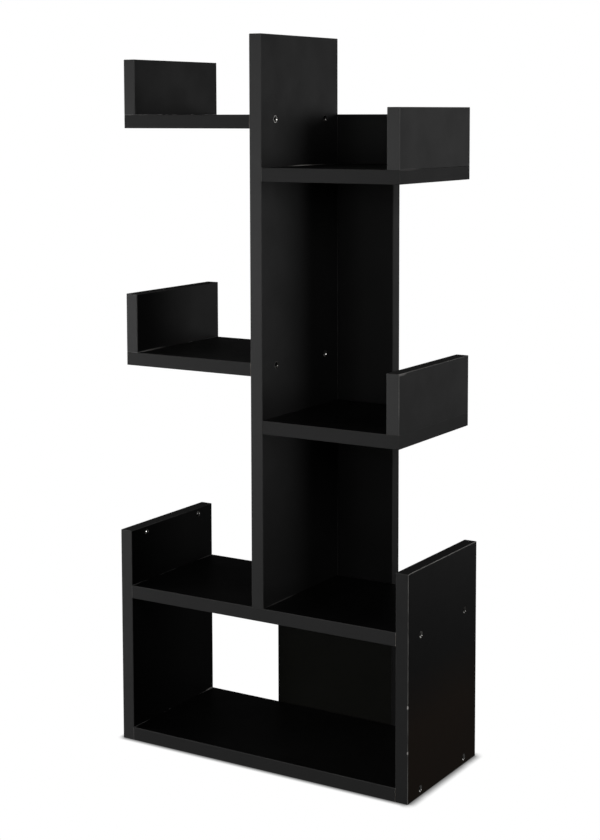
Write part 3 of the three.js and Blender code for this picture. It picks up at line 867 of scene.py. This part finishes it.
# The joining screws
# Countersunk steel screws, bright nickel plated, with a hexagon socket and a coarse rolled thread. Each sits
# just under the face of one board and draws the next one tight.
SOCKET_HALF_WIDTH = 0.002  # across its flats
SOCKET_TURN_SEED = 7
SCREW_SIZES = {
    "Head Radius": 0.0049,
    "Head Rim": 0.0007,
    "Head Depth": 0.003,
    "Neck Radius": 0.0035,
    "Neck Length": 0.008,
    "Core Radius": 0.0024,
    "Thread Radius": 0.00345,
    "Length": 0.05,
    "Tip Length": 0.004,
    "Dish Radius": 0.004,
    "Dish Depth": 0.0013,
    "Socket Radius": SOCKET_HALF_WIDTH / math.cos(math.pi / 6),
    "Socket Depth": 0.0024,
    "Seed": SOCKET_TURN_SEED,
}
HEAD_EDGE = 0.00015
THREAD_HALF_WIDTH = 0.0006
THREAD_TURNS = 10
THREAD_STEPS_A_TURN = 14
TIP_RADIUS = 0.001
SOCKET_POINT = 0.0006
DISH_STATIONS = ((0.35, 0.9), (0.75, 0.74))  # shares of the dish's depth and radius below its rim
DISH_FLOOR = 0.0022
SOCKET_SIDES = 6
SCREW_SIDES = 48
SIXTH_TURN = math.pi / 3
CROSSWISE = Vector((1, 1, 0))  # keeps of a place what lies across a turned piece's axis


def fitting_tree(name, sizes):
    """The start of a tree for fittings. Returns it, what it is given and what it gives."""
    return new_tree(name, {"Places": GEOMETRY} | sizes | {"Coat": None}, {"Mesh": GEOMETRY})


def end_fitting_tree(tree, given, result, shape, roll=None):
    """Ends a tree for fittings: a coated copy of the shape stands on every place."""
    stood = stood_at_places(tree, given["Places"], smoothed(tree, shape), roll=roll)
    tree.links.new(made_real(tree, stood, given["Coat"]), result["Mesh"])
    return tree


def screw_tree():
    tree, given, result = fitting_tree("joining screws", SCREW_SIZES)
    head, neck, core = (given[f"{part} Radius"] for part in ("Head", "Neck", "Core"))
    length = given["Length"]
    neck_end = maths(tree, "ADD", given["Head Depth"], given["Neck Length"])
    thread_start = maths(tree, "ADD", neck_end, maths(tree, "SUBTRACT", neck, core))
    tip_start = maths(tree, "SUBTRACT", length, given["Tip Length"])
    body = turned(tree, SCREW_SIDES, [
        (0.0, maths(tree, "SUBTRACT", head, HEAD_EDGE)),
        (HEAD_EDGE, head),
        (given["Head Rim"], head),
        (given["Head Depth"], neck),
        (neck_end, neck),
        (thread_start, core),
        (tip_start, core),
        (length, TIP_RADIUS),
    ])
    wrench, dish, dished = given["Socket Radius"], given["Dish Radius"], given["Dish Depth"]
    bowl = [(-OVERRUN, dish), (0.0, dish)]
    for deep, wide in DISH_STATIONS:
        bowl.append((times(tree, dished, deep), times(tree, dish, wide)))
    bowl = turned(tree, SCREW_SIDES, [*bowl, (dished, DISH_FLOOR)])
    socket = turned(tree, SOCKET_SIDES, [
        (-OVERRUN, wrench),
        (given["Socket Depth"], wrench),
        (maths(tree, "ADD", given["Socket Depth"], SOCKET_POINT), HEAD_EDGE),
    ])
    inputs = {"Mesh 1": body, "Mesh 2": [bowl, socket]}
    body = output_of(tree, "GeometryNodeMeshBoolean", inputs, operation="DIFFERENCE", solver="EXACT")

    # How deep each point lies in the socket, kept on the mesh for the darkening there
    position = spot_of(tree)
    spot = parts(tree, position)
    off_axis = vectors(tree, "LENGTH", vectors(tree, "MULTIPLY", position, CROSSWISE))
    inside = maths(tree, "LESS_THAN", off_axis, maths(tree, "ADD", wrench, HEAD_EDGE))
    depth = times(tree, maths(tree, "DIVIDE", spot["Z"], given["Socket Depth"]), inside)
    body = stored(tree, body, "sunk", depth)

    # A three sided tube wound round the core: its crest points outwards
    steps = THREAD_TURNS * THREAD_STEPS_A_TURN
    tube = {"Vertices": 3, "Side Segments": steps, "Radius": 1, "Depth": 1}
    tube = place(tree, "GeometryNodeMeshCylinder", tube, fill_type="NGON").outputs["Mesh"]
    share = maths(tree, "ADD", spot["Z"], HALF)
    crest = maths(tree, "MAXIMUM", spot["X"], 0)
    reach = maths(tree, "MULTIPLY_ADD", crest, maths(tree, "SUBTRACT", given["Thread Radius"], core), core)
    run = maths(tree, "SUBTRACT", tip_start, thread_start)
    along = maths(tree, "MULTIPLY_ADD", share, run, thread_start)
    along = maths(tree, "MULTIPLY_ADD", spot["Y"], THREAD_HALF_WIDTH, along)
    turn = times(tree, share, THREAD_TURNS * math.tau)
    wound = {
        "X": times(tree, reach, maths(tree, "COSINE", turn)),
        "Y": times(tree, reach, maths(tree, "SINE", turn)),
        "Z": along,
    }
    wound = output_of(tree, "ShaderNodeCombineXYZ", wound)
    thread = shifted(tree, tube, Position=wound)
    thread = output_of(tree, "GeometryNodeFlipFaces", {"Mesh": thread})
    screw = output_of(tree, "GeometryNodeJoinGeometry", {0: [body, thread]})
    roll = {"Min": 0.0, "Max": SIXTH_TURN, "Seed": given["Seed"]}
    roll = output_of(tree, "FunctionNodeRandomValue", roll, data_type="FLOAT")
    return end_fitting_tree(tree, given, result, screw, roll)


NICKEL = (0.88, 0.865, 0.84, 1)
NICKEL_DULL = (0.70, 0.685, 0.655, 1)
MOTTLE_SIZE = 0.0011
MOTTLE_HEIGHT = 0.000008
NICKEL_IOR = 1.5
# Deep in each socket the colour turns dark and loses its metal
SOCKET_DARK_COLOUR = (0.006, 0.006, 0.0055, 1)
DARK_FROM = 0.56  # of the socket's depth
DARK_TO = 0.72
DARKENED_NICKEL = (0.05, 0.048, 0.044, 1)
DARKENED_HEADS = {  # share by which each listed head's plating is darkened
    "trunk_screw_top_left_front": 0.28,
    "trunk_screw_top_left_back": 0.9,
    "trunk_screw_mid_left_front": 0.9,
    "trunk_screw_mid_left_back": 0.15,
    "right_side_screw_lower_back": 0.5,
}


def nickel_plating(name, smoothest, dullest):
    """Bright nickel, a little mottled, darkened on some heads and deep in the sockets."""
    material, tree, shader = new_material(name, IOR=NICKEL_IOR)
    mottle = noise_of_size(tree, spot_of(tree), MOTTLE_SIZE, Detail=3)
    socket_darkness = spread(tree, kept(tree, "sunk"), DARK_FROM, DARK_TO)
    colour = mixed(tree, mottle, NICKEL_DULL, NICKEL)
    colour = mixed(tree, kept(tree, "head_darkening"), colour, DARKENED_NICKEL)
    colour = mixed(tree, socket_darkness, colour, SOCKET_DARK_COLOUR)
    tree.links.new(colour, shader["Base Color"])
    tree.links.new(maths(tree, "SUBTRACT", 1, socket_darkness), shader["Metallic"])
    sheen = spread(tree, mottle, MIDDLE_LOW, MIDDLE_HIGH, smoothest, dullest)
    tree.links.new(sheen, shader["Roughness"])
    add_relief(tree, shader, mottle, MOTTLE_HEIGHT)
    return material


joining_screws = screw_tree()
nickel_plate = nickel_plating("bright_nickel_plate", smoothest=0.21, dullest=0.31)
SCREW_GROUPS = {
    "side_screws": ("left_side_screw", "right_side_screw"),
    "trunk_screws": ("trunk_screw", "trunk_foot_screw"),
    "end_panel_screws": ("end_panel_screw",),
    "back_board_screws": ("back_board_screw",),
}
for name, starts in SCREW_GROUPS.items():
    screws = [node for node in fittings if node.startswith(starts)]
    piece = made_by(joining_screws, name, places_of(name, screws, DARKENED_HEADS), {"Coat": nickel_plate})
    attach(piece, "root")
    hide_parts(*screws)

# The dowels
# Turned beech pins, fluted so that the glue can rise, and chamfered at both ends. One lies across each joint
# of a shelf with an upright and keeps it from turning about its screws.
DOWEL_SIZES = {"Radius": 0.004, "Length": 0.03, "Chamfer": 0.0008, "Flutes": 16, "Flute Depth": 0.00025}
DOWEL_SIDES = 64


def dowel_tree():
    tree, given, result = fitting_tree("fluted dowels", DOWEL_SIZES)
    radius, chamfer, length = given["Radius"], given["Chamfer"], given["Length"]
    end_radius = maths(tree, "SUBTRACT", radius, chamfer)
    pin = turned(tree, DOWEL_SIDES, [
        (0.0, end_radius),
        (chamfer, radius),
        (maths(tree, "SUBTRACT", length, chamfer), radius),
        (length, end_radius),
    ])
    position = spot_of(tree)
    spot = parts(tree, position)
    angle = maths(tree, "ARCTAN2", spot["Y"], spot["X"])
    wave = maths(tree, "COSINE", times(tree, angle, given["Flutes"]))
    sink = times(tree, maths(tree, "MULTIPLY_ADD", wave, HALF, -HALF), given["Flute Depth"])
    outward = vectors(tree, "NORMALIZE", vectors(tree, "MULTIPLY", position, CROSSWISE))
    return end_fitting_tree(tree, given, result, shifted(tree, pin, Offset=scaled(tree, outward, sink)))


BEECH_PALE = (0.62, 0.43, 0.25, 1)
BEECH_RED = (0.43, 0.25, 0.13, 1)
BEECH_FLECK = (0.27, 0.14, 0.07, 1)
BEECH_STRETCH = Vector((60, 900, 900))
FLECK_FINENESS = 4
FLECK_FROM = 0.62
FLECK_TO = 0.7
BEECH_SMOOTHEST = 0.62
BEECH_ROUGHEST = 0.75
GRAIN_HEIGHT = 0.00003


def turned_beech():
    """Beech with its grain along the dowel, and the short dark flecks of its rays."""
    material, tree, shader = new_material("turned_beech", IOR=WOOD_IOR)
    stretched = {"Vector": spot_of(tree), "Scale": BEECH_STRETCH}
    stretched = output_of(tree, "ShaderNodeMapping", stretched)
    grain = output_of(tree, "ShaderNodeTexNoise", {"Vector": stretched, "Scale": 1, "Detail": 4})
    fine = {"Vector": stretched, "Scale": FLECK_FINENESS, "Detail": 2}
    fleck = spread(tree, output_of(tree, "ShaderNodeTexNoise", fine), FLECK_FROM, FLECK_TO)
    colour = mixed(tree, grain, BEECH_PALE, BEECH_RED)
    tree.links.new(mixed(tree, fleck, colour, BEECH_FLECK), shader["Base Color"])
    dry = spread(tree, grain, MIDDLE_LOW, MIDDLE_HIGH, BEECH_SMOOTHEST, BEECH_ROUGHEST)
    tree.links.new(dry, shader["Roughness"])
    add_relief(tree, shader, grain, GRAIN_HEIGHT)
    return material


dowel_nodes = [node for node in fittings if "dowel" in node]
dowels = made_by(dowel_tree(), "dowels", places_of("dowels", dowel_nodes), {"Coat": turned_beech()})
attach(dowels, "root")
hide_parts(*dowel_nodes)

# The plugs
# Two small caps of nickel plated steel, pressed into the bores that stay free near the top of the left side,
# which is drilled alike at both ends. Their polished crowns stand a little proud of its inner face.
PLUG_SIZES = {"Radius": 0.003, "Length": 0.01, "Crown Radius": 0.0042, "Crown Rise": 0.003}
CROWN_EDGE = 0.0003
CROWN_STATIONS = ((0.03, 0.0), (0.4, 0.11), (0.72, 0.4), (0.92, 0.75))  # shares of its radius and rise


def plug_tree():
    tree, given, result = fitting_tree("domed plugs", PLUG_SIZES)
    radius, wide, rise = given["Radius"], given["Crown Radius"], given["Crown Rise"]
    crown = []
    for out, down in CROWN_STATIONS:
        crown.append((times(tree, rise, down - 1), times(tree, wide, out)))
    shank = [(-CROWN_EDGE / 2, wide), (0.0, maths(tree, "SUBTRACT", wide, CROWN_EDGE)), (0.0, radius)]
    cap = turned(tree, SCREW_SIDES, [*crown, *shank, (given["Length"], radius)])
    return end_fitting_tree(tree, given, result, cap)


plug_nodes = [node for node in fittings if "plug" in node]
polished_nickel = nickel_plating("polished_nickel_plate", smoothest=0.11, dullest=0.19)
plugs = made_by(plug_tree(), "spare_bore_plugs", places_of("plugs", plug_nodes), {"Coat": polished_nickel})
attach(plugs, "root")
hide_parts(*plug_nodes)

# The floor and the studio light
# A pale floor that stays white to the camera but for the soft shadow under the boards, white surroundings,
# and large soft lights round the object, the strongest at its right and left.
FLOOR_SIZE = 6.0
FRONT_CONTACT_REACH = 0.009
RIGHT_CONTACT_REACH = 0.0125
CONTACT_DEPTH = 2.5
CONTACT_SAMPLES = 32
FLOOR_GLOW = 0.0386
SURROUND_GLOW = 0.0243
STUDIO_WHITE = (1, 1, 1, 1)

floor_mesh = bpy.data.meshes.new("floor")
half_floor = FLOOR_SIZE / 2
floor_corners = [(x * half_floor, y * half_floor, 0) for x, y in ((-1, -1), (1, -1), (1, 1), (-1, 1))]
floor_mesh.from_pydata(floor_corners, [], [range(4)])
floor = bpy.data.objects.new("floor", floor_mesh)
bpy.context.scene.collection.objects.link(floor)
floor_paint = bpy.data.materials.new("pale_floor")
floor_paint.use_nodes = True
paint = floor_paint.node_tree
paint.nodes.clear()
right_end = cad_box[1][0]
reaches = (FRONT_CONTACT_REACH, RIGHT_CONTACT_REACH)
across = parts(paint, spot_of(paint))["X"]
reach = spread(paint, across, right_end - FRONT_CONTACT_REACH, right_end, *reaches)
occlusion = place(paint, "ShaderNodeAmbientOcclusion", {"Distance": reach}, samples=CONTACT_SAMPLES)
shade = maths(paint, "POWER", occlusion.outputs["AO"], CONTACT_DEPTH)
shown = output_of(paint, "ShaderNodeEmission", {"Color": STUDIO_WHITE, "Strength": shade})
cast = output_of(paint, "ShaderNodeEmission", {"Color": STUDIO_WHITE, "Strength": FLOOR_GLOW})
seen = place(paint, "ShaderNodeLightPath").outputs["Is Camera Ray"]
top = output_of(paint, "ShaderNodeMixShader", {0: seen, 1: cast, 2: shown})
underneath = output_of(paint, "ShaderNodeBsdfTransparent")
turned_away = place(paint, "ShaderNodeNewGeometry").outputs["Backfacing"]
both = output_of(paint, "ShaderNodeMixShader", {0: turned_away, 1: top, 2: underneath})
place(paint, "ShaderNodeOutputMaterial", {"Surface": both})
floor_mesh.materials.append(floor_paint)

world = bpy.data.worlds.new("studio")
world.use_nodes = True
bpy.context.scene.world = world
sky = world.node_tree
sky.nodes.clear()
glow = output_of(sky, "ShaderNodeBackground", {"Color": STUDIO_WHITE, "Strength": SURROUND_GLOW})
white = output_of(sky, "ShaderNodeBackground", {"Color": STUDIO_WHITE, "Strength": 1})
seen = place(sky, "ShaderNodeLightPath").outputs["Is Camera Ray"]
both = output_of(sky, "ShaderNodeMixShader", {0: seen, 1: glow, 2: white})
place(sky, "ShaderNodeOutputWorld", {"Surface": both})
bpy.context.scene.view_settings.view_transform = "Standard"

LIGHT_AIM = Vector((0, 0, 0.5))
SOFT_BOXES = {  # place and size in metres, power in watts
    "low_backdrop": (Vector((1.0, 1.3, 0.6)), (0.8, 1.2), 1.11),
    "high_backdrop": (Vector((1.3, 1.8, 1.0)), (1.0, 1.0), 0.72),
    "right": (Vector((1.6, -1.0, 1.3)), (0.8, 0.8), 8.95),
    "front": (Vector((0.0, -2.5, 0.8)), (1.0, 1.0), 4.08),
    "front_left": (Vector((-0.9, -1.5, 0.6)), (0.6, 0.6), 2.34),
    "left": (Vector((-1.5, -0.6, 0.5)), (0.6, 0.6), 8.17),
    "overhead": (Vector((0.0, 0.0, 2.5)), (1.2, 1.2), 1.2),
}
for name, (spot, size, power) in SOFT_BOXES.items():
    lamp = bpy.data.lights.new(name, "AREA")
    lamp.shape = "RECTANGLE"
    lamp.size, lamp.size_y = size
    lamp.energy = power
    soft_box = bpy.data.objects.new(name, lamp)
    turn = (LIGHT_AIM - spot).to_track_quat("-Z", "Y").to_matrix().to_4x4()
    soft_box.matrix_world = Matrix.Translation(spot) @ turn
    soft_box.visible_camera = False
    bpy.context.scene.collection.objects.link(soft_box)
